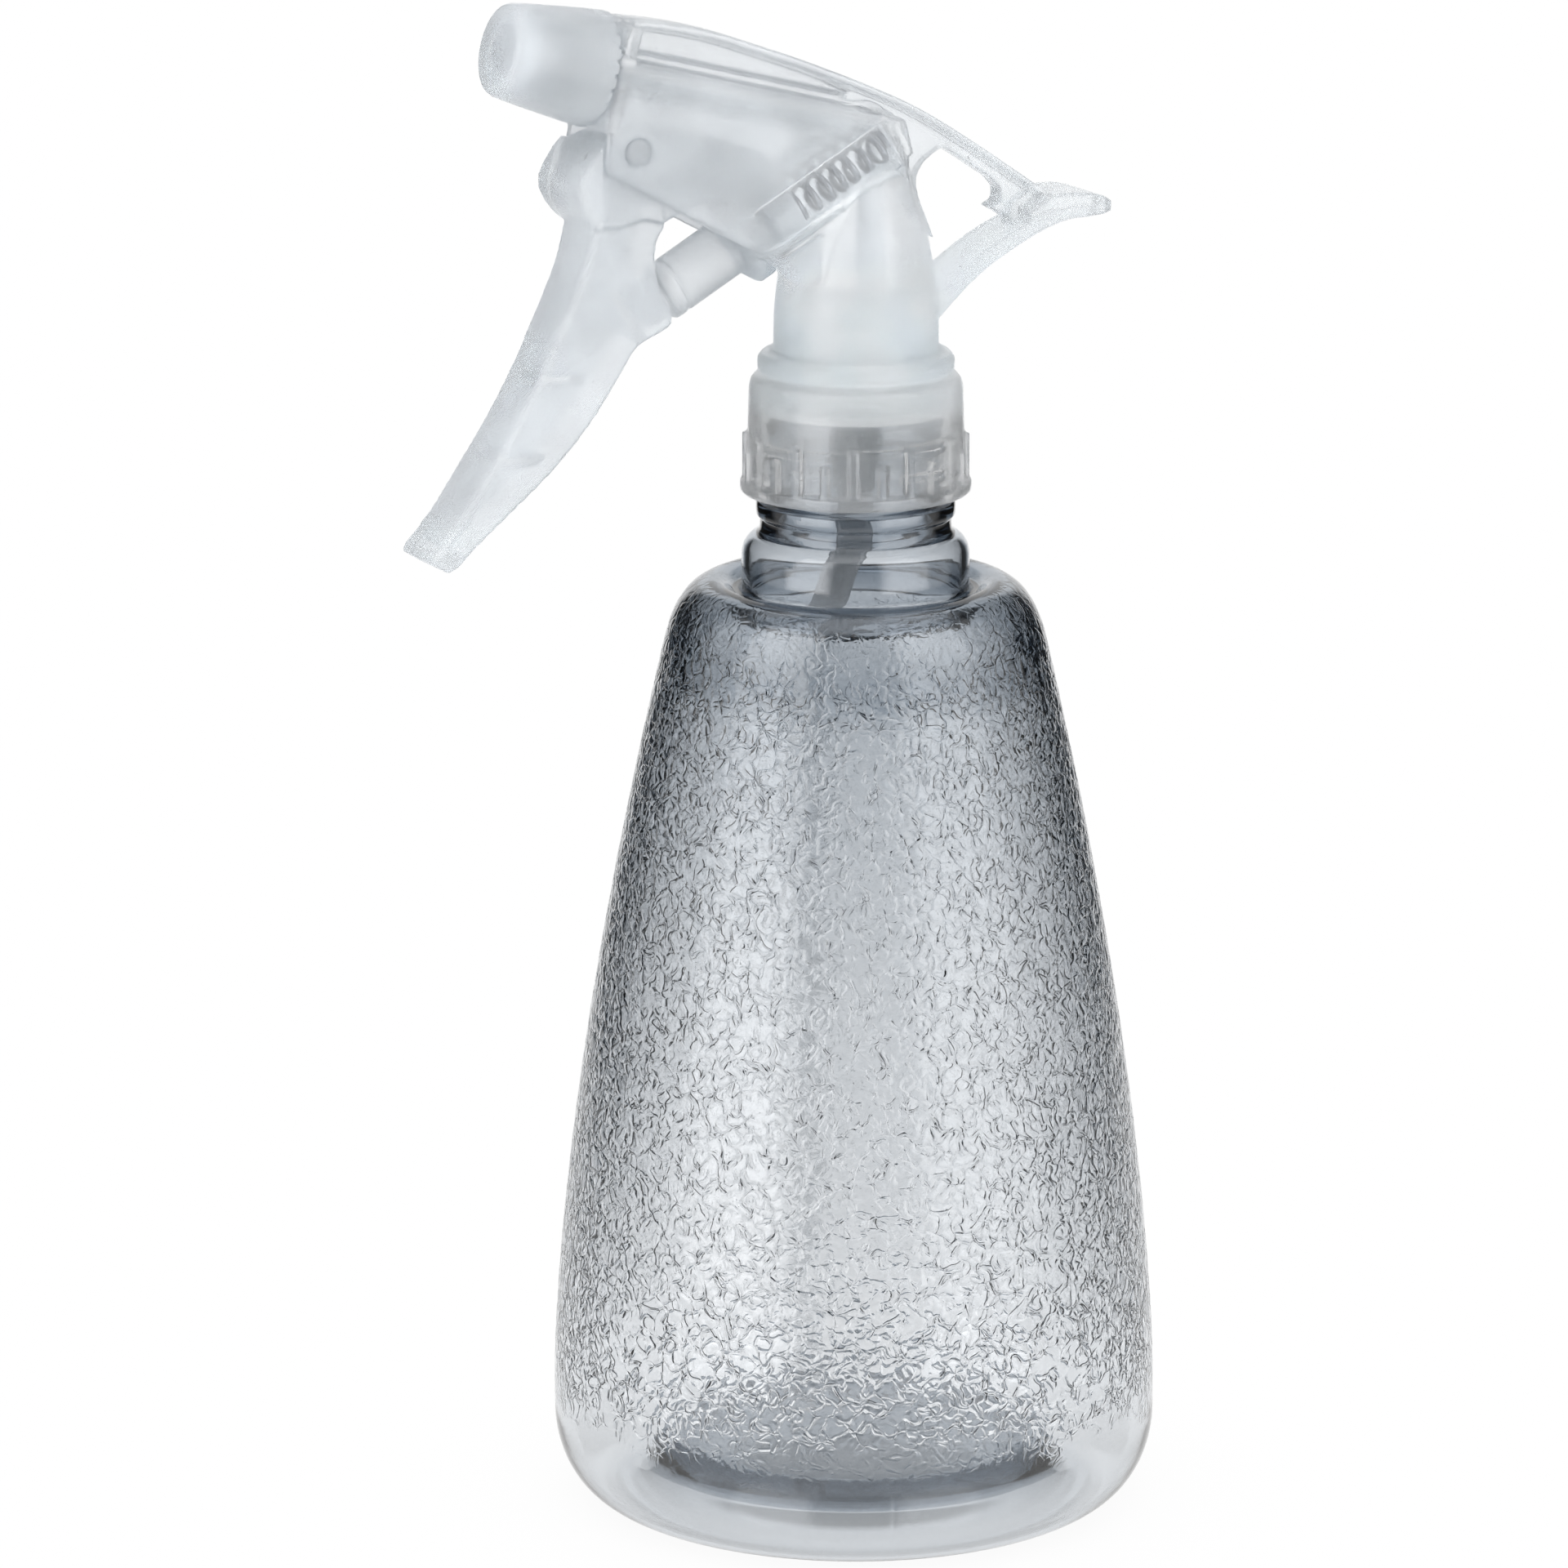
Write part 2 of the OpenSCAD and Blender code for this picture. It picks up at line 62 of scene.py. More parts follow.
class N:
    """A short way to write node trees: n = N(tree); n.math('ADD', a, b) and so on. Sockets or numbers go in, a socket comes out."""

    def __init__(self, tree):
        self.t = tree

    def put(self, node, key, value):
        s = node.inputs[key]
        if isinstance(value, bpy.types.NodeSocket):
            self.t.links.new(value, s)
        else:
            s.default_value = value

    def node(self, kind, out=0, ins=None, **props):
        n = self.t.nodes.new(kind)
        for k, v in props.items():
            setattr(n, k, v)
        for k, v in (ins or {}).items():
            self.put(n, k, v)
        return n.outputs[out] if out is not None else n

    def math(self, op, a, b=0.0, c=0.0, clamp=False):
        n = self.t.nodes.new("ShaderNodeMath")
        n.operation, n.use_clamp = op, clamp
        self.put(n, 0, a), self.put(n, 1, b)
        if op in ("MULTIPLY_ADD", "SMOOTH_MIN", "SMOOTH_MAX", "COMPARE", "WRAP"):
            self.put(n, 2, c)
        return n.outputs[0]

    def vec(self, op, a, b=(0, 0, 0), scale=None):
        n = self.t.nodes.new("ShaderNodeVectorMath")
        n.operation = op
        self.put(n, 0, a)
        if op == "SCALE":
            self.put(n, "Scale", scale)
        else:
            self.put(n, 1, b)
        return n.outputs["Value" if op in ("DOT_PRODUCT", "LENGTH", "DISTANCE") else "Vector"]

    def step(self, x, lo, hi, to0=0.0, to1=1.0):
        n = self.t.nodes.new("ShaderNodeMapRange")
        n.interpolation_type = "SMOOTHSTEP"
        for i, v in zip((0, 1, 2, 3, 4), (x, lo, hi, to0, to1)):
            self.put(n, i, v)
        return n.outputs[0]

    def noise(self, vector, scale, detail=2.0, rough=0.5, out="Fac", distortion=0.0):
        n = self.t.nodes.new("ShaderNodeTexNoise")
        self.put(n, "Vector", vector)
        for k, v in (("Scale", scale), ("Detail", detail), ("Roughness", rough), ("Distortion", distortion)):
            self.put(n, k, v)
        o = {x.name: x for x in n.outputs}
        return o.get(out) or n.outputs[0 if out == "Fac" else 1]

    def edges(self, vector, scale, randomness=1.0):
        n = self.t.nodes.new("ShaderNodeTexVoronoi")
        n.feature = "DISTANCE_TO_EDGE"
        self.put(n, "Vector", vector), self.put(n, "Scale", scale), self.put(n, "Randomness", randomness)
        return n.outputs["Distance"]

    def xyz(self, v):
        n = self.t.nodes.new("ShaderNodeSeparateXYZ")
        self.put(n, 0, v)
        return n.outputs

    def join(self, x, y, z):
        n = self.t.nodes.new("ShaderNodeCombineXYZ")
        self.put(n, 0, x), self.put(n, 1, y), self.put(n, 2, z)
        return n.outputs[0]


# the pebbled grain of the bottle's body, as a height from a place in metres: soft pebbles for the mesh, creases between them for the fine bump
def grain(n, pos, fine=True):
    p = n.vec("SCALE", pos, scale=1000.0)
    sway = n.vec("SUBTRACT", n.noise(p, 0.42, 0.0, 0.5, out="Color"), (0.5, 0.5, 0.5))
    q = n.vec("ADD", p, n.vec("SCALE", sway, scale=4.2))
    d = n.edges(q, 0.42)
    pillow = n.step(d, 0.0, 0.50)
    if fine:
        gap = n.step(n.noise(p, 0.40, 0.0, 0.5), 0.31, 0.44)
        crease = n.math("MULTIPLY", n.step(d, 0.16, 0.0), n.math("MULTIPLY_ADD", gap, 0.92, 0.08))
        h = n.math("SUBTRACT", n.math("MULTIPLY", pillow, 0.35), crease)
    else:
        h = pillow
    s = n.xyz(p)
    rad = n.math("SQRT", n.math("ADD", n.math("MULTIPLY", s[0], s[0]), n.math("MULTIPLY", s[1], s[1])))
    lower = n.step(s[2], 12.5, 24.0)
    upper = n.math("MULTIPLY_ADD", n.step(s[2], 133.0, 124.0), 0.72, 0.28)
    top = n.math("MULTIPLY", n.step(s[2], 136.2, 134.6), n.step(rad, 20.2, 22.4))
    return n.math("MULTIPLY", h, n.math("MULTIPLY", n.math("MULTIPLY", lower, upper), top))


# ---------------------------------------------------------------- mesh helpers
def mesh_object(name, verts, faces, smooth=True):
    me = bpy.data.meshes.new(name)
    me.from_pydata([tuple(v) for v in verts], [], faces)
    me.validate()
    me.update()
    if smooth:
        me.shade_smooth()
    o = bpy.data.objects.new(name, me)
    bpy.context.scene.collection.objects.link(o)
    return o


def evaluated(o):
    dg = bpy.context.evaluated_depsgraph_get()
    me = bpy.data.meshes.new_from_object(o.evaluated_get(dg), depsgraph=dg)
    o.modifiers.clear()
    o.data = me
    return o


def outward(o):
    bm = bmesh.new()
    bm.from_mesh(o.data)
    bmesh.ops.recalc_face_normals(bm, faces=bm.faces)
    bm.to_mesh(o.data)
    bm.free()


def moulded(node, voxel, rounds, name):
    """The node's shape as a moulding: welded, rebuilt on a fine grid, its edges eased by smoothing."""
    src = NODES[node]
    me = src.data.copy()
    o = bpy.data.objects.new(name, me)
    bpy.context.scene.collection.objects.link(o)
    me.materials.clear()
    bm = bmesh.new()
    bm.from_mesh(me)
    bmesh.ops.remove_doubles(bm, verts=bm.verts, dist=2e-6)
    bmesh.ops.recalc_face_normals(bm, faces=bm.faces)
    bm.to_mesh(me)
    bm.free()
    for a in list(me.attributes):
        if a.name.startswith("custom_normal"):
            me.attributes.remove(a)
    r = o.modifiers.new("Remesh", "REMESH")
    r.mode, r.voxel_size, r.adaptivity, r.use_smooth_shade = "VOXEL", voxel * MM, 0.0, True
    if rounds:
        s = o.modifiers.new("Ease", "SMOOTH")
        s.factor, s.iterations = 0.5, rounds
    evaluated(o)
    n = len(o.data.polygons) * 2
    print("moulded", node, n, "triangles")
    o.data.shade_smooth()
    return o


def sweep(name, pts, r, sides=14):
    pts = np.array(pts, float)
    t = np.gradient(pts, axis=0)
    t /= np.linalg.norm(t, axis=1)[:, None]
    ref = np.array([1.0, 0.0, 0.0])
    verts, faces = [], []
    nrm = ref - t[0] * (ref @ t[0])
    if np.linalg.norm(nrm) < 0.1:
        nrm = np.cross(t[0], [0, 1, 0])
    for i, (p, d) in enumerate(zip(pts, t)):
        nrm = nrm - d * (nrm @ d)
        nrm /= np.linalg.norm(nrm)
        b = np.cross(d, nrm)
        rr = r[i] if hasattr(r, "__len__") else r
        for k in range(sides):
            a = 2 * math.pi * k / sides
            verts.append(p + rr * (math.cos(a) * nrm + math.sin(a) * b))
    m = len(pts)
    for i in range(m - 1):
        for k in range(sides):
            k2 = (k + 1) % sides
            faces.append((i * sides + k, i * sides + k2, (i + 1) * sides + k2, (i + 1) * sides + k))
    faces.append(tuple(range(sides))[::-1])
    faces.append(tuple((m - 1) * sides + k for k in range(sides)))
    o = mesh_object(name, verts, faces)
    outward(o)
    return o


def spring(name, origin, axis, r, w, t0, t1, turns, closed, per=40):
    """A wire spring with closed end coils, wound about axis from t0 to t1 (mm)."""
    axis = np.array(axis)
    u = np.array([1.0, 0, 0])
    v = np.cross(axis, u)
    total = turns + 2 * closed
    length = (t1 - t0) - 2 * w
    ends = closed * 2 * w * 1.04
    pts = []
    n = int(total * per)
    for i in range(n + 1):
        k = total * i / n
        if k < closed:
            z = k / closed * ends
        elif k > total - closed:
            z = length - (total - k) / closed * ends
        else:
            s = (k - closed) / turns
            z = ends + (length - 2 * ends) * (s + 0.10 * math.sin(2 * math.pi * s) / (2 * math.pi) * 1.0)
        a = 2 * math.pi * k
        pts.append(np.array(origin) + MM * ((t0 + w + z) * axis + r * (math.cos(a) * u + math.sin(a) * v)))
    return sweep(name, pts, w * MM, 12)


def dress(o, body, slot, mat, *nodes):
    o.data.materials.clear()
    o.data.materials.append(mat)
    if nodes:
        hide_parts(*nodes)
    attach(o, body)
    return o


# ---------------------------------------------------------------- materials
def pet():
    """Smoke-tinted PET: clear, absorbing with depth, with a fine grain on the body."""
    m = new_mat("smoke_pet")
    n = N(m.node_tree)
    pos = n.node("ShaderNodeTexCoord", "Object")
    h = grain(n, pos)
    bump = n.node("ShaderNodeBump", 0, {"Strength": 1.0, "Distance": 0.000095, "Height": h})
    haze = n.noise(pos, 260.0, 3.0, 0.6)
    rough = n.step(haze, 0.3, 0.75, 0.012, 0.04)
    b = n.node("ShaderNodeBsdfPrincipled", None, {"Base Color": (1, 1, 1, 1), "Roughness": rough, "IOR": 1.56, "Transmission Weight": 1.0, "Normal": bump})
    out = n.node("ShaderNodeOutputMaterial", None, {"Surface": b.outputs[0]})
    D, sig = 320.0, (248.0, 221.0, 194.0)
    vol = n.node("ShaderNodeVolumeAbsorption", 0, {"Color": (*[1 - s / D for s in sig], 1), "Density": D})
    m.node_tree.links.new(vol, out.inputs["Volume"])
    return m


def pump_zone(n, pos, r0, r1):
    """1 inside the pump barrel's wall, 0 elsewhere, in object space."""
    rel = n.vec("SUBTRACT", pos, tuple(PUMP_O))
    t = n.vec("DOT_PRODUCT", rel, tuple(PUMP_D))
    off = n.vec("LENGTH", n.vec("SUBTRACT", rel, n.vec("SCALE", tuple(PUMP_D), scale=t)))
    along = n.math("MULTIPLY", n.step(t, 0.002, 0.004), n.step(t, 0.0275, 0.025))
    return n.math("MULTIPLY", along, n.step(off, r1, r0))


def pp(name, tint, clear, rough, milk=0.5, seed=0.0, bump=0.00002, scale=900.0, zones=(), ior=1.46, barrel=False):
    """Natural polypropylene: part of the light goes through blurred, the rest is scattered by the milky resin."""
    m = new_mat(name)
    n = N(m.node_tree)
    pos = n.vec("ADD", n.node("ShaderNodeTexCoord", "Object"), (seed, seed * 0.7, seed * 1.3))
    cloud = n.noise(pos, 95.0, 4.0, 0.55)
    fine = n.noise(pos, scale, 3.0, 0.6)
    speck = n.math("MULTIPLY", n.step(n.noise(pos, 1500.0, 0.0), 0.80, 0.815), n.step(n.noise(pos, 210.0, 0.0), 0.66, 0.70))
    # zones: (z0, z1, extra milk, extra brightness) in millimetres: the extra milk is where thicker walls scatter more;
    # the extra brightness is painted light, a lift of the colour in that band
    place = n.node("ShaderNodeTexCoord", "Object")
    here = n.xyz(place)[2]
    milky, gain = milk, 1.0
    for z0, z1, extra, light in zones:
        milky = n.math("ADD", milky, n.step(here, z0 * MM, z1 * MM, 0.0, extra))
        # painted light: the zone's colour is lifted by its extra brightness
        gain = n.math("ADD", gain, n.step(here, z0 * MM, z1 * MM, 0.0, light))
    clearness = n.step(cloud, 0.25, 0.75, clear + 0.05, clear - 0.05)
    r = n.step(fine, 0.25, 0.75, rough * 0.82, rough * 1.2)
    if barrel:
        z = pump_zone(n, place, 0.0077, 0.0083)
        milky = n.math("MULTIPLY", milky, n.math("MULTIPLY_ADD", z, -0.62, 1.0))
        clearness = n.math("ADD", clearness, n.math("MULTIPLY", z, 0.12))
        r = n.math("MULTIPLY", r, n.math("MULTIPLY_ADD", z, -0.45, 1.0))
        gain = n.math("ADD", gain, n.math("MULTIPLY", z, 0.07))
    shade = n.math("MULTIPLY", n.step(cloud, 0.3, 0.7, 0.955, 1.025), gain)
    col = n.vec("SCALE", tint, scale=n.math("MULTIPLY", shade, n.math("MULTIPLY_ADD", speck, -0.5, 1.0)))
    col = n.vec("MINIMUM", col, (0.985, 0.99, 0.995))
    b = n.node("ShaderNodeBump", 0, {"Strength": 1.0, "Distance": bump, "Height": n.math("ADD", n.math("MULTIPLY", cloud, 6.0), fine)})
    solid = n.node("ShaderNodeBsdfPrincipled", None, {"Base Color": col, "Roughness": r, "IOR": ior, "Transmission Weight": clearness, "Normal": b})
    glow = n.node("ShaderNodeBsdfTranslucent", 0, {"Color": col, "Normal": b})
    mix = n.node("ShaderNodeMixShader", None)
    n.put(mix, 0, milky)
    m.node_tree.links.new(solid.outputs[0], mix.inputs[1])
    m.node_tree.links.new(glow, mix.inputs[2])
    n.node("ShaderNodeOutputMaterial", None, {"Surface": mix.outputs[0]})
    return m


def metal(name, colour, rough):
    m = new_mat(name)
    n = N(m.node_tree)
    pos = n.node("ShaderNodeTexCoord", "Object")
    f = n.noise(pos, 2500.0, 3.0, 0.6)
    r = n.step(f, 0.3, 0.7, rough * 0.75, rough * 1.35)
    c = n.vec("SCALE", colour, scale=n.step(f, 0.2, 0.8, 0.85, 1.05))
    bump = n.node("ShaderNodeBump", 0, {"Strength": 0.4, "Distance": 0.00001, "Height": f})
    b = n.node("ShaderNodeBsdfPrincipled", None, {"Base Color": c, "Roughness": r, "Metallic": 1.0, "Normal": bump})
    n.node("ShaderNodeOutputMaterial", None, {"Surface": b.outputs[0]})
    return m


PET = pet()
# below z 190 mm the body is milkier, and its colour gets a painted light lift of 0.11
PP_BODY = pp("natural_pp", (0.875, 0.90, 0.92), 0.80, 0.24, 0.16, 0.0, zones=((190.0, 180.0, 0.42, 0.11),), barrel=True)
PP_CORE = pp("natural_pp_core", (0.95, 0.965, 0.975), 0.70, 0.24, 0.45, 2.3)
PP_LEVER = pp("natural_pp_lever", (0.855, 0.88, 0.90), 0.74, 0.28, 0.28, 1.7)
PP_ROD = pp("natural_pp_rod", (0.84, 0.865, 0.885), 0.70, 0.28, 0.30, 4.9)
PP_NOZ = pp("natural_pp_nozzle", (0.865, 0.89, 0.91), 0.74, 0.22, 0.26, 3.1)
# from z 160.8 mm up the cap is milkier, and its colour gets a painted light lift of 0.02
PP_CAP = pp("clear_pp", (0.965, 0.975, 0.98), 0.94, 0.11, 0.26, 5.3, zones=((160.8, 162.6, 0.26, 0.02),))
PP_TUBE = pp("tube_pe", (0.985, 0.988, 0.99), 0.93, 0.10, 0.04, 7.9, zones=((127.0, 133.0, 0.46, 0.0),), ior=1.12)
PP_SEAL = pp("seal_pe", (0.93, 0.94, 0.95), 0.15, 0.4, 0.35, 9.1)
STEEL = metal("spring_steel", (0.30, 0.31, 0.33), 0.32)
BALL = metal("ball_steel", (0.62, 0.63, 0.65), 0.12)

# ---------------------------------------------------------------- bottle
def catmull(p, n):
    p = [p[0]] + list(p) + [p[-1]]
    out = []
    for i in range(1, len(p) - 2):
        a, b, c, d = map(np.array, p[i - 1:i + 3])
        for k in range(n):
            u = k / n
            out.append(0.5 * ((2 * b) + (c - a) * u + (2 * a - 5 * b + 4 * c - d) * u * u + (3 * b - a - 3 * c + d) * u ** 3))
    out.append(np.array(p[-1]))
    return out


K = 16.6 / (128.0 - 16.0) ** 1.58
body_at = lambda z: 44.0 - K * max(0.0, z - 16.0) ** 1.58
SH = body_at(128.0)


def wall(z):
    return float(np.interp(z, [0, 10, 16, 40, 70, 85, 100, 115, 126, 131], [0.6, 0.42, 0.42, 0.66, 0.82, 0.95, 1.2, 1.45, 1.75, 1.85]))


def resample(p, step):
    p = np.array(p, float)
    s = np.concatenate([[0], np.cumsum(np.linalg.norm(np.diff(p, axis=0), axis=1))])
    m = max(2, int(round(s[-1] / step)) + 1)
    t = np.linspace(0, s[-1], m)
    return np.stack([np.interp(t, s, p[:, 0]), np.interp(t, s, p[:, 1])], 1)


def bottle():
    corner = [(35 + 9 * math.sin(a), 12.5 - 12.5 * math.cos(a)) for a in np.radians(np.linspace(4, 90, 26))]
    shoulder = catmull([(body_at(126.0), 126.0), (SH, 128.0), (SH - 0.7, 130.4), (SH - 1.7, 132.6), (SH - 3.2, 134.7), (SH - 5.0, 136.0), (SH - 6.8, 136.5), (SH - 8.3, 136.2), (SH - 9.4, 135.4),
                        (17.2, 134.9), (16.65, 135.1), (16.42, 135.9), (16.4, 136.9)], 10)
    base = resample([(33.4, 0.14), (33.9, 0.03), (34.4, 0.0), (34.9, 0.0)] + [(max(x, 35.2), z) for x, z in corner], 0.95)
    grainy = resample([(body_at(z), z) for z in np.linspace(12.5, 126.0, 400)][1:], 0.72)
    grainy[:, 0] = [body_at(z) if z > 16 else 44.0 for z in grainy[:, 1]]
    crest = resample(shoulder, 0.62)
    neck = [(16.4, 138.0), (16.4, 139.6), (16.33, 140.7), (16.05, 141.7), (15.5, 142.5), (14.9, 143.0), (14.3, 143.3), (13.95, 143.6), (13.78, 144.0), (13.75, 144.5), (13.75, 145.5), (13.85, 145.8),
            (14.15, 145.95), (14.27, 146.2), (14.3, 147.0), (14.27, 147.8), (14.1, 148.15), (13.6, 148.3), (12.8, 148.42), (12.62, 148.6), (12.6, 149.0)]
    top = [(12.6, z) for z in np.arange(149.5, 160.4, 0.42)] + [(12.6, 160.6), (12.45, 160.95), (12.15, 161.1)]
    outer = np.concatenate([base, grainy[1:], crest[1:], np.array(neck), np.array(top)])
    # columns round the axis, with a closely spaced trio at each half of the mould line
    NT = 388
    part = [math.radians(-19.4), math.radians(160.6)]
    th = sorted(list(np.linspace(0, 2 * math.pi, NT, endpoint=False)) + [(p + d) % (2 * math.pi) for p in part for d in (-0.006, 0.006)])
    th = np.array(th)
    for p in part:
        i = int(np.argmin(np.abs(np.angle(np.exp(1j * (th - p))))))
        if abs(np.angle(np.exp(1j * (th[i] - p)))) > 0.0045:
            pass
    NT = len(th)
    r, z = outer[:, 0], outer[:, 1]
    rr = np.repeat(r[:, None], NT, 1)
    zz = np.repeat(z[:, None], NT, 1)
    # mould line: a fine ridge from base to shoulder
    for p in part:
        d = np.abs(np.angle(np.exp(1j * (th - p))))
        rr += (0.045 * np.clip(1 - d / 0.0062, 0, 1))[None, :] * ((z > 3) & (z < 136))[:, None]
    # slow unevenness of a blown wall
    rr += (0.06 * np.sin(3 * th + 0.7)[None, :] * np.sin(z / 31.0)[:, None]) * ((z > 14) & (z < 130))[:, None]
    # screw thread, one start, with tapered run-in and run-out
    pitch, z0, turns = 4.2, 151.6, 1.75
    for i in range(len(z)):
        if z[i] < 149.2 or z[i] > 160.6:
            continue
        for k in range(3):
            along = (th / (2 * math.pi)) + k
            zc = z0 + pitch * along
            d = np.abs(z[i] - zc)
            fade = np.clip(along / 0.10, 0, 1) * np.clip((turns - along) / 0.10, 0, 1)
            prof = np.clip(1.28 - d / 0.68, 0, 1)
            prof = prof * prof * (3 - 2 * prof)
            rr[i] = np.maximum(rr[i], 12.6 + 0.65 * prof * fade)
    verts = [(rr[i, j] * math.cos(th[j]) * MM, rr[i, j] * math.sin(th[j]) * MM, zz[i, j] * MM) for i in range(len(z)) for j in range(NT)]
    faces = []
    for i in range(len(z) - 1):
        a = i * NT
        for j in range(NT):
            j2 = (j + 1) % NT
            faces.append((a + j, a + j2, a + NT + j2, a + NT + j))
    # inner surface, at every fourth column
    inn = [(10.9, 161.1), (10.9, 158), (10.9, 154), (10.9, 150), (10.9, 147.5), (10.95, 146.0), (11.1, 145.0), (11.5, 144.0), (12.3, 143.1), (13.4, 142.5), (14.3, 142.0), (14.9, 141.3), (15.2, 140.4), (15.3, 139),
           (15.3, 137.0), (15.3, 134.6), (15.32, 132.7), (15.6, 131.5), (16.4, 130.95), (17.3, 130.9)]
    inn += [(SH - 9.2, 133.1), (SH - 8.0, 134.3), (SH - 6.6, 134.7), (SH - 5.2, 134.1), (SH - 4.0, 132.7), (SH - 3.1, 130.6), (SH - 2.7, 128.2), (SH - 2.4, 125.6), (body_at(121) - wall(121) - 0.1, 121.0)]
    inn = [tuple(v) for v in catmull(inn, 3)]
    inn += [(body_at(zz_) - wall(zz_), zz_) for zz_ in np.arange(118.0, 16.0, -2.5)]
    inn += [(34.9 + (9.1 - 0.42) * math.sin(a), 12.95 - 12.35 * math.cos(a)) for a in np.radians(np.linspace(88, 14, 15))]
    inn += [tuple(v) for v in catmull([(35.6, 0.82), (34.4, 1.0), (33.0, 1.4), (31.7, 2.3), (30.6, 3.8), (29.6, 5.6), (28.7, 7.2), (27.5, 8.4), (25.8, 9.15), (23.0, 9.55), (20.0, 9.8), (15.0, 10.05), (10.0, 10.3), (5.0, 10.45)], 2)]
    NI = NT // 4
    base_i = len(verts)
    cols = th[::4]
    for (ri, zi) in inn:
        for a in cols:
            verts.append((ri * math.cos(a) * MM, ri * math.sin(a) * MM, zi * MM))
    m = len(inn)
    last = (len(z) - 1) * NT
    for j in range(NI):
        j2 = (j + 1) % NI
        faces.append(tuple(last + (4 * j + q) % NT for q in range(5)) + (base_i + j2, base_i + j))
    for i in range(m - 1):
        a = base_i + i * NI
        for j in range(NI):
            j2 = (j + 1) % NI
            faces.append((a + j, a + j2, a + NI + j2, a + NI + j))
    c = len(verts)
    verts.append((0, 0, 10.5 * MM))
    a = base_i + (m - 1) * NI
    for j in range(NI):
        faces.append((a + j, a + (j + 1) % NI, c))
    # punt under the base: from the resting ring inward and up
    punt = [tuple(v) for v in catmull([(33.0, 0.28), (32.3, 0.6), (31.4, 1.1), (30.2, 1.9), (29.0, 3.0), (27.8, 4.1), (26.5, 5.0), (25.0, 5.65), (22.5, 6.25), (20.0, 6.55), (16.0, 6.85), (11.0, 7.02), (5.5, 7.15)], 2)]
    pb = len(verts)
    for (ri, zi) in punt:
        for a in cols:
            verts.append((ri * math.cos(a) * MM, ri * math.sin(a) * MM, zi * MM))
    for j in range(NI):
        j2 = (j + 1) % NI
        faces.append((pb + j, pb + j2) + tuple((4 * j + q) % NT for q in range(4, -1, -1)))
    for i in range(len(punt) - 1):
        a = pb + i * NI
        for j in range(NI):
            j2 = (j + 1) % NI
            faces.append((a + j, a + NI + j, a + NI + j2, a + j2))
    c = len(verts)
    verts.append((0, 0, 7.2 * MM))
    a = pb + (len(punt) - 1) * NI
    for j in range(NI):
        faces.append((a + j, c, a + (j + 1) % NI))
    o = mesh_object("bottle_blown", verts, faces)
    outward(o)
    # the grain, by the same nodes as the bump
    g = bpy.data.node_groups.new("grain", "GeometryNodeTree")
    g.interface.new_socket("Geometry", in_out="INPUT", socket_type="NodeSocketGeometry")
    g.interface.new_socket("Geometry", in_out="OUTPUT", socket_type="NodeSocketGeometry")
    n = N(g)
    gi, go = g.nodes.new("NodeGroupInput"), g.nodes.new("NodeGroupOutput")
    pos = n.node("GeometryNodeInputPosition", 0)
    nor = n.node("GeometryNodeInputNormal", 0)
    h = grain(n, pos, fine=False)
    s = n.xyz(pos)
    rad = n.math("SQRT", n.math("ADD", n.math("MULTIPLY", s[0], s[0]), n.math("MULTIPLY", s[1], s[1])))
    # only the outer skin moves: where the normal points away from the axis, or up on the shoulder
    out_ = n.vec("DOT_PRODUCT", nor, n.vec("NORMALIZE", n.join(s[0], s[1], 0.02)))
    keep = n.math("MULTIPLY", n.step(out_, 0.05, 0.3), n.step(rad, 0.0165, 0.018))
    amp = n.math("MULTIPLY", n.math("MULTIPLY", h, keep), 0.00006)
    sp = n.node("GeometryNodeSetPosition", None, {"Offset": n.vec("SCALE", nor, scale=amp)})
    g.links.new(gi.outputs[0], sp.inputs["Geometry"])
    g.links.new(sp.outputs[0], go.inputs[0])
    md = o.modifiers.new("Grain", "NODES")
    md.node_group = g
    evaluated(o)
    o.data.shade_smooth()
    return o


dress(bottle(), "bottle", "smoke_pet", PET, "bottle")

# ---------------------------------------------------------------- mouldings
for node, voxel, rounds, name, body, slot, mat in (
        ("sprayer_body", 0.36, 3, "sprayer_shell", "head", "natural_pp", PP_BODY),
        ("trigger", 0.30, 3, "trigger_lever", "trigger", "natural_pp", PP_LEVER),
        ("closure_cap", 0.24, 2, "ribbed_cap", "closure", "clear_pp", PP_CAP),
        ("nozzle_cap", 0.19, 2, "nozzle_knob", "nozzle", "natural_pp", PP_NOZ),
        ("piston_rod", 0.20, 2, "plunger", "piston", "natural_pp", PP_ROD),
        ("barrel_collar", 0.20, 2, "barrel_ring", "head", "natural_pp", PP_BODY),
        ("valve_housing", 0.26, 2, "inlet_housing", "head", "natural_pp", PP_CORE),
        ("ball_retainer", 0.12, 1, "ball_cage", "head", "natural_pp", PP_CORE),
        ("swirl_core", 0.15, 1, "swirl_plug", "head", "natural_pp", PP_CORE),
        ("piston_cup", 0.14, 1, "cup_seal", "piston", "seal_pe", PP_SEAL),
        ("neck_gasket", 0.2, 2, "neck_washer", "gasket", "seal_pe", PP_SEAL),
        ("nozzle_seal", 0.15, 2, "nozzle_washer", "nozzle_liner", "seal_pe", PP_SEAL),
        ("dip_tube", 0.26, 3, "dip_straw", "head", "tube_pe", PP_TUBE)):
    dress(moulded(node, voxel, rounds, name), body, slot, mat, node)

s1 = spring("pump_spring", PUMP_O, PUMP_D, 3.5, 0.5, 8.1, 26.0, 6.0, 1.0)
dress(s1, "head", "spring_steel", STEEL, "return_spring")
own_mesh(s1)
s2 = spring("outlet_spring", JET_O, JET_D, 1.7, 0.2, 1.83, 5.2, 3.0, 0.7)
dress(s2, "head", "spring_steel", STEEL, "discharge_spring")
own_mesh(s2)


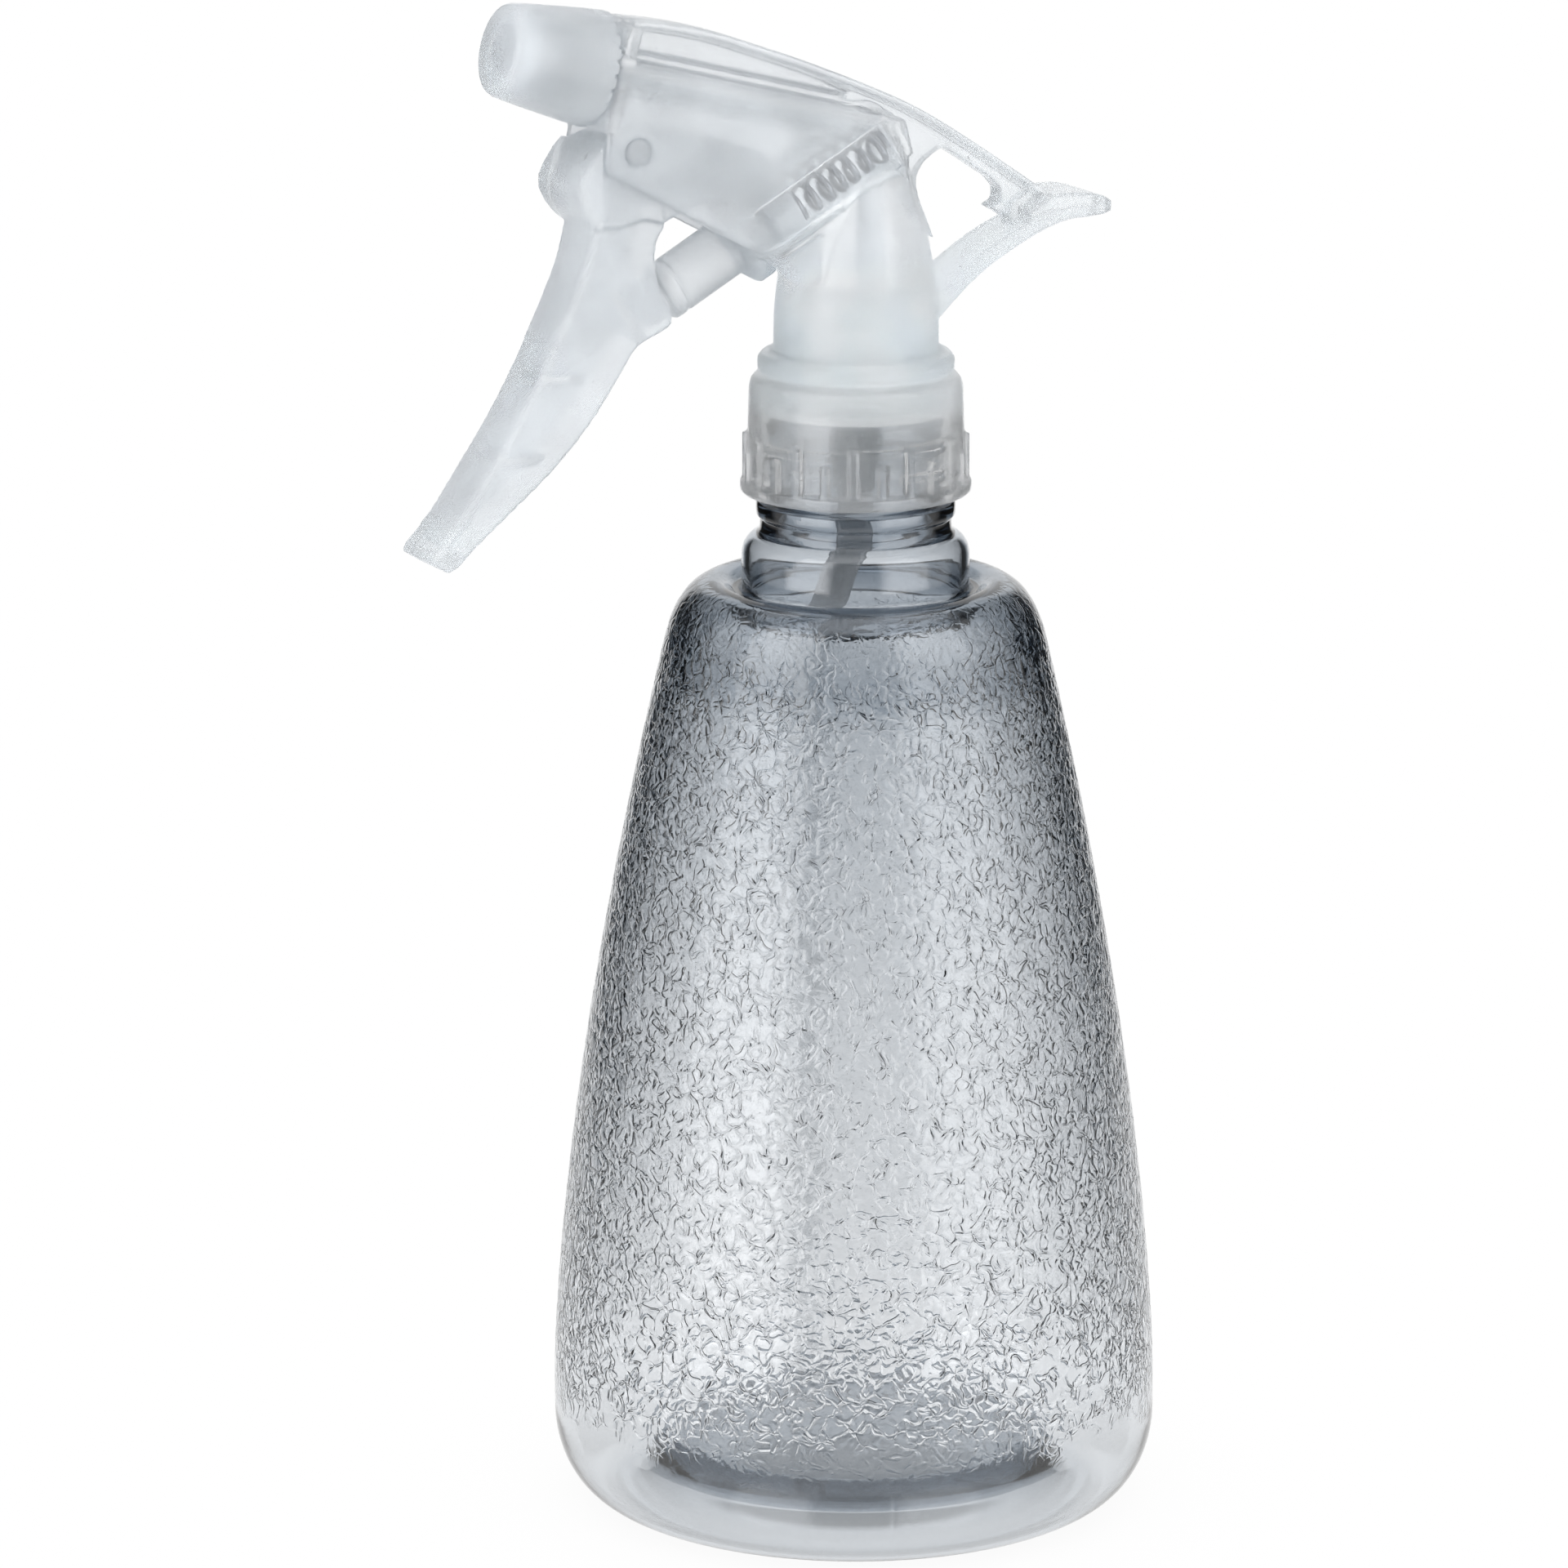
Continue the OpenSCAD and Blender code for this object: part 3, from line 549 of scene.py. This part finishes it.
def ball(name, centre, r, body, node):
    me = bpy.data.meshes.new(name)
    bm = bmesh.new()
    bmesh.ops.create_icosphere(bm, subdivisions=5, radius=r * MM)
    bm.to_mesh(me)
    bm.free()
    me.transform(Matrix.Translation(centre))
    me.shade_smooth()
    o = bpy.data.objects.new(name, me)
    bpy.context.scene.collection.objects.link(o)
    dress(o, body, "ball_steel", BALL, node)


ball("inlet_bead", Vector((0, 0, 167.88)) * MM, 1.95, "inlet_check", "inlet_ball")
ball("outlet_bead", JET_O + JET_D * (-0.09) * MM, 1.9, "outlet_check", "discharge_ball")

# ---------------------------------------------------------------- floor
R_FLOOR = 0.42
verts = [(0, 0, 0)] + [(r * math.cos(a), r * math.sin(a), -0.00002) for r in (0.12, 0.25, R_FLOOR * 1.6) for a in np.linspace(0, 2 * math.pi, 96, endpoint=False)]
verts[0] = (0, 0, -0.00002)
faces = [(0, 1 + k, 1 + (k + 1) % 96) for k in range(96)]
for q in range(2):
    faces += [(1 + q * 96 + k, 1 + (q + 1) * 96 + k, 1 + (q + 1) * 96 + (k + 1) % 96, 1 + q * 96 + (k + 1) % 96) for k in range(96)]
floor = mesh_object("floor", verts, faces, smooth=False)
fm = new_mat("floor_white")
n = N(fm.node_tree)
fp = n.node("ShaderNodeTexCoord", "Object")
fx = n.xyz(fp)
fr = n.math("SQRT", n.math("ADD", n.math("MULTIPLY", fx[0], fx[0]), n.math("MULTIPLY", fx[1], fx[1])))
# painted shadow: the floor's even white glow is dimmed by ambient occlusion, and to 0.55 in a disc under the middle of
# the bottle's base, as a contact shadow
ao = n.node("ShaderNodeAmbientOcclusion", "AO", {"Distance": 0.045}, samples=6)
em = n.node("ShaderNodeEmission", 0, {"Color": (1.0, 1.0, 1.0, 1), "Strength": n.math("MULTIPLY", n.step(ao, 0.0, 0.85, 0.95, 1.0), n.step(fr, 0.015, 0.0225, 0.55, 1.0))})
tr = n.node("ShaderNodeBsdfTransparent", 0)
mix = n.node("ShaderNodeMixShader", None)
n.put(mix, 0, n.step(fr, R_FLOOR * 0.55, R_FLOOR * 1.3, 1.0, 0.0))
fm.node_tree.links.new(tr, mix.inputs[1])
fm.node_tree.links.new(em, mix.inputs[2])
n.node("ShaderNodeOutputMaterial", None, {"Surface": mix.outputs[0]})
floor.data.materials.append(fm)

# ---------------------------------------------------------------- studio, turned with the camera
world = bpy.data.worlds.new("studio")
bpy.context.scene.world = world
world.use_nodes = True
world.node_tree.nodes.clear()
n = N(world.node_tree)
d = n.node("ShaderNodeTexCoord", "Generated")


def cam_axis(v):
    t = n.node("ShaderNodeVectorTransform", 0, {0: v}, vector_type="VECTOR", convert_from="CAMERA", convert_to="WORLD")
    h = n.vec("MULTIPLY", t, (1, 1, 0))
    return n.vec("NORMALIZE", h)


F, Rt = cam_axis((0, 0, 1)), cam_axis((1, 0, 0))
az = n.math("MULTIPLY", n.math("ARCTAN2", n.vec("DOT_PRODUCT", d, Rt), n.vec("DOT_PRODUCT", d, F)), 180 / math.pi)
el = n.math("MULTIPLY", n.math("ARCSINE", n.xyz(d)[2]), 180 / math.pi)
aaz = n.math("ABSOLUTE", az)


def box_light(a0, a1, e0, e1, soft, gain):
    a = n.math("MULTIPLY", n.step(az, a0 - soft, a0 + soft), n.step(az, a1 + soft, a1 - soft))
    e = n.math("MULTIPLY", n.step(el, e0 - soft, e0 + soft), n.step(el, e1 + soft, e1 - soft))
    return n.math("MULTIPLY", n.math("MULTIPLY", a, e), gain)


back = n.math("MULTIPLY", n.step(aaz, 27.0, 16.0), n.step(el, 60.0, 30.0))
level = n.math("MAXIMUM", n.math("MULTIPLY", back, 1.0), 0.03)
for args in ((-152, -104, -45, 55, 7, 3.4), (100, 152, -45, 55, 8, 2.8), (-108, -72, -40, 50, 10, 0.9), (72, 108, -40, 50, 10, 0.9)):
    level = n.math("MAXIMUM", level, box_light(*args))
level = n.math("MAXIMUM", level, n.step(el, 48.0, 66.0, 0.0, 1.5))
cam_ray = n.node("ShaderNodeLightPath", "Is Camera Ray")
level = n.math("ADD", level, n.math("MULTIPLY", n.node("ShaderNodeLightPath", "Is Diffuse Ray"), 0.35))
level = n.math("MAXIMUM", level, cam_ray)
bg = n.node("ShaderNodeBackground", 0, {"Color": (1.0, 1.0, 1.0, 1), "Strength": level})
n.node("ShaderNodeOutputWorld", None, {"Surface": bg})

# ---------------------------------------------------------------- camera
A, PITCH, FPX = math.radians(63.0), math.radians(13.543), 9883.3
Fh = Vector((-math.sin(A), math.cos(A), 0))
Fv = Fh * math.cos(PITCH) + Vector((0, 0, -math.sin(PITCH)))
Rv = Vector((math.cos(A), math.sin(A), 0))
Uv = Rv.cross(Fv)
aim = (Fv + Rv * ((960.0 - 1047.0) / FPX) - Uv * ((960.0 - 899.4) / FPX)).normalized()
cam = bpy.data.objects.new("camera", bpy.data.cameras.new("camera"))
bpy.context.scene.collection.objects.link(cam)
cam.data.sensor_width, cam.data.lens = 36.0, 185.31
cam.data.clip_start, cam.data.clip_end = 0.05, 50.0
cam.location = (1.13275 * math.sin(A), -1.13275 * math.cos(A), 0.38612)
right = aim.cross(Vector((0, 0, 1))).normalized()
up = right.cross(aim)
cam.rotation_mode = "QUATERNION"
cam.rotation_quaternion = Matrix((right, up, -aim)).transposed().to_quaternion()
bpy.context.scene.camera = cam

sc = bpy.context.scene
sc.view_settings.view_transform = "Standard"
sc.view_settings.look = "None"
sc.cycles.max_bounces = 20
sc.cycles.transmission_bounces = 18
sc.cycles.transparent_max_bounces = 16
sc.cycles.glossy_bounces = 8
sc.cycles.diffuse_bounces = 5
sc.cycles.volume_bounces = 0
sc.cycles.caustics_refractive = True
sc.cycles.caustics_reflective = True
sc.cycles.blur_glossy = 0.4
sc.cycles.sample_clamp_indirect = 6.0
sc.cycles.use_denoising = True
sc.cycles.denoiser = "OPENIMAGEDENOISE"
sc.cycles.denoising_input_passes = "RGB"
sc.cycles.sampling_pattern = "TABULATED_SOBOL"
